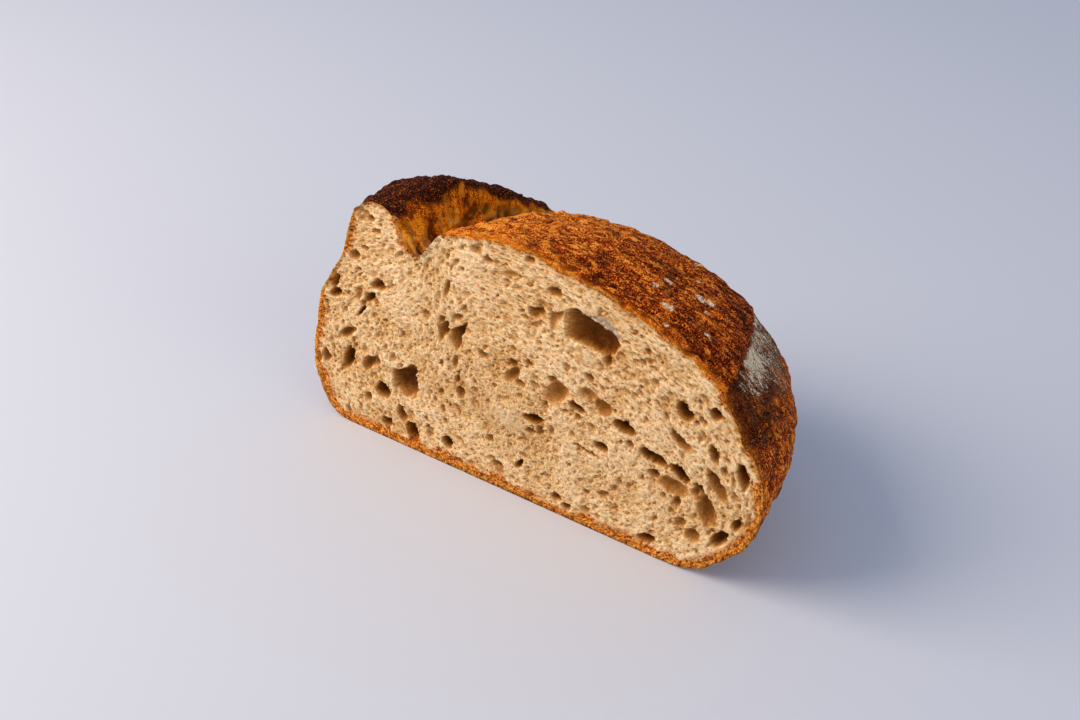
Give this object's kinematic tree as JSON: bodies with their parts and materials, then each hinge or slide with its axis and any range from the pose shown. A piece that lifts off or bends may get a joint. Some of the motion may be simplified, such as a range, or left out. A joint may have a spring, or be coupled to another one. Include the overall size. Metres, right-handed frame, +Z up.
{
  "type": "half loaf of sourdough bread",
  "caption": "Half of a round sourdough loaf with a scored, eared crust, cut side open to show the crumb, resting on its flat base.",
  "frame": {"origin": "on the base, under the middle of the half loaf's box", "axes": "+X across the cut from the eared side to the smooth side, +Y from the cut into the loaf, +Z up"},
  "size_m": [0.23, 0.1022, 0.1246],
  "materials": {
    "crust": "baked bread crust, golden to dark brown, with a charred ear and a dusting of flour",
    "crumb": "open sourdough crumb, pale tan, torn and full of gas bubbles"
  },
  "bodies": {
    "root": {"loaf": "crust"}
  },
  "joints": []
}
